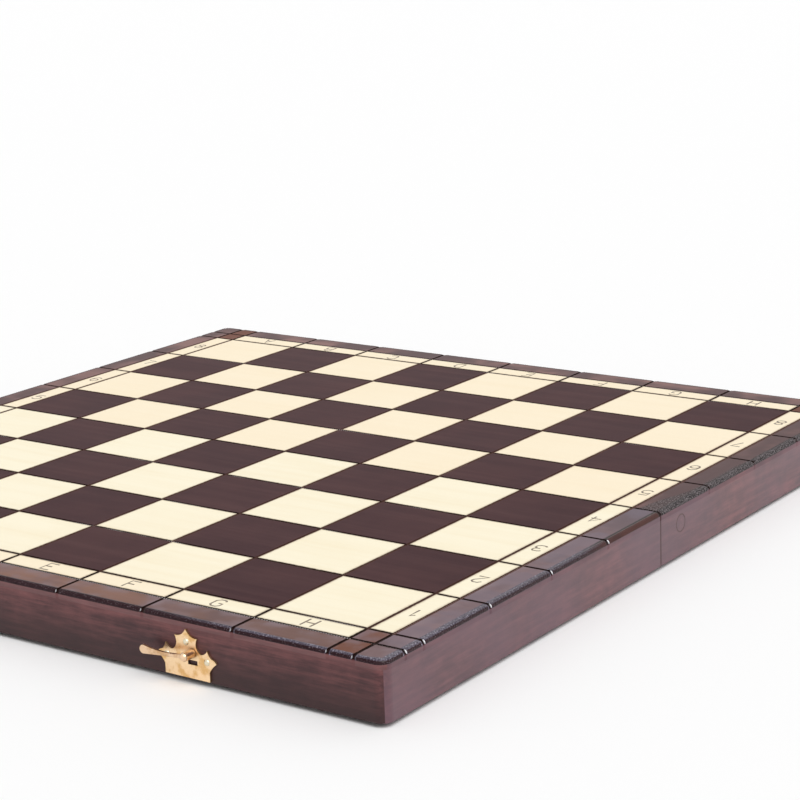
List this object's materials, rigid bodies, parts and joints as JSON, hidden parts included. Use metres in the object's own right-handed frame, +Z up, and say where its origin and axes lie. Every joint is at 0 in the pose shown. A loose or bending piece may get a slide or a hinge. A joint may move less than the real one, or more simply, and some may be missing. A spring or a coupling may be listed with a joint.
{
  "type": "folding chess board",
  "caption": "Wooden chess board that folds into a shallow case, with a checkered top, burnt lines and edges, brass hinges under the fold and swinging brass hooks that hold it shut.",
  "frame": {"origin": "centre of the open board, on the table plane under the hinge barrels", "axes": "+X along the row of files, from the A file to the H file; +Y from the clasp side to the keeper side; +Z up, out of the playing surface"},
  "size_m": [0.42, 0.4348, 0.027],
  "materials": {
    "board_wood": "satin varnish",
    "stained_wood": "satin varnish",
    "felt": "matte",
    "brass": "polished"
  },
  "bodies": {
    "near_half": {"near_panel": "board_wood", "near_front_wall": "stained_wood", "near_left_wall": "stained_wood", "near_right_wall": "stained_wood", "near_seam_rail": "stained_wood", "near_lining": "felt", "left_hinge_near_leaf": "brass", "right_hinge_near_leaf": "brass", "left_hinge_pin": "brass", "right_hinge_pin": "brass", "near_hinge_screws": "brass", "left_clasp_plate": "brass", "right_clasp_plate": "brass", "clasp_nails": "brass", "left_hook_rivet": "brass", "right_hook_rivet": "brass"},
    "left_hook": {"left_hook": "brass"},
    "right_hook": {"right_hook": "brass"},
    "far_half": {"far_panel": "board_wood", "far_back_wall": "stained_wood", "far_left_wall": "stained_wood", "far_right_wall": "stained_wood", "far_seam_rail": "stained_wood", "far_lining": "felt", "left_hinge_far_leaf": "brass", "right_hinge_far_leaf": "brass", "far_hinge_screws": "brass", "left_keeper_plate": "brass", "right_keeper_plate": "brass", "left_keeper": "brass", "right_keeper": "brass", "keeper_nails": "brass", "wall_plug": "stained_wood"}
  },
  "joints": [
    {"name": "fold", "type": "hinge", "parent": "near_half", "child": "far_half", "pos_m": [0, 0, 0.0019], "axis": [-1, 0, 0], "range_deg": [0, 180]},
    {"name": "left_hook_swing", "type": "hinge", "parent": "near_half", "child": "left_hook", "pos_m": [-0.112, -0.2154, 0.0133], "axis": [0, -1, 0], "range_deg": [-90, 90]},
    {"name": "right_hook_swing", "type": "hinge", "parent": "near_half", "child": "right_hook", "pos_m": [0.118, -0.2154, 0.0133], "axis": [0, -1, 0], "range_deg": [-90, 90]}
  ]
}
